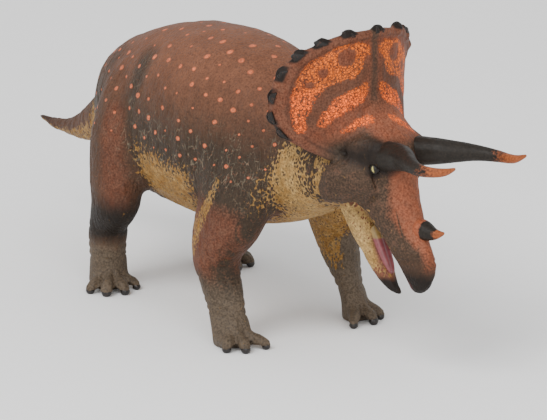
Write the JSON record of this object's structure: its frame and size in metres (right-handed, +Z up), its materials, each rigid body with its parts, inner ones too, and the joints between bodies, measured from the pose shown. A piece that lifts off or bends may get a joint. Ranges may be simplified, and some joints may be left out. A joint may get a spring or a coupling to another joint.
{
  "type": "toy dinosaur figure",
  "caption": "Painted vinyl figure of a three-horned, frilled dinosaur standing on all fours with its head lowered, its mouth open and its short tail held out behind.",
  "frame": {"origin": "on the floor under the middle of the figure's overall box", "axes": "+X the way the body faces, +Y the animal's left, +Z up"},
  "size_m": [0.2088, 0.0564, 0.0887],
  "materials": {
    "hide": "vinyl, sprayed red-brown with small orange-pink spots, washed dark, matt",
    "underside": "vinyl, sprayed ochre with dark speckles, matt",
    "face": "vinyl, dry-brushed dark grey-brown, matt",
    "beak": "vinyl, darkened towards the tip, satin",
    "tongue": "vinyl, painted dull pink, satin",
    "frill": "vinyl, red-brown with orange bands and dark edge knobs, matt",
    "horn": "vinyl, charcoal with red-brown tips, satin",
    "eye": "painted pale yellow and sealed with gloss",
    "foot": "vinyl, grey-brown with near-black nails, matt"
  },
  "bodies": {
    "root": {"torso": "hide", "neck": "underside", "head": "face", "beak_upper": "beak", "jaw_lower": "underside", "beak_lower": "beak", "tongue": "tongue", "frill": "frill", "horn_brow_left": "horn", "horn_brow_right": "horn", "horn_nose": "horn", "eye_left": "eye", "eye_right": "eye", "tail_base": "hide", "tail_tip": "hide", "leg_front_left": "hide", "leg_front_right": "hide", "leg_hind_left": "hide", "leg_hind_right": "hide", "foot_front_left": "foot", "foot_front_right": "foot", "foot_hind_left": "foot", "foot_hind_right": "foot"}
  },
  "joints": []
}
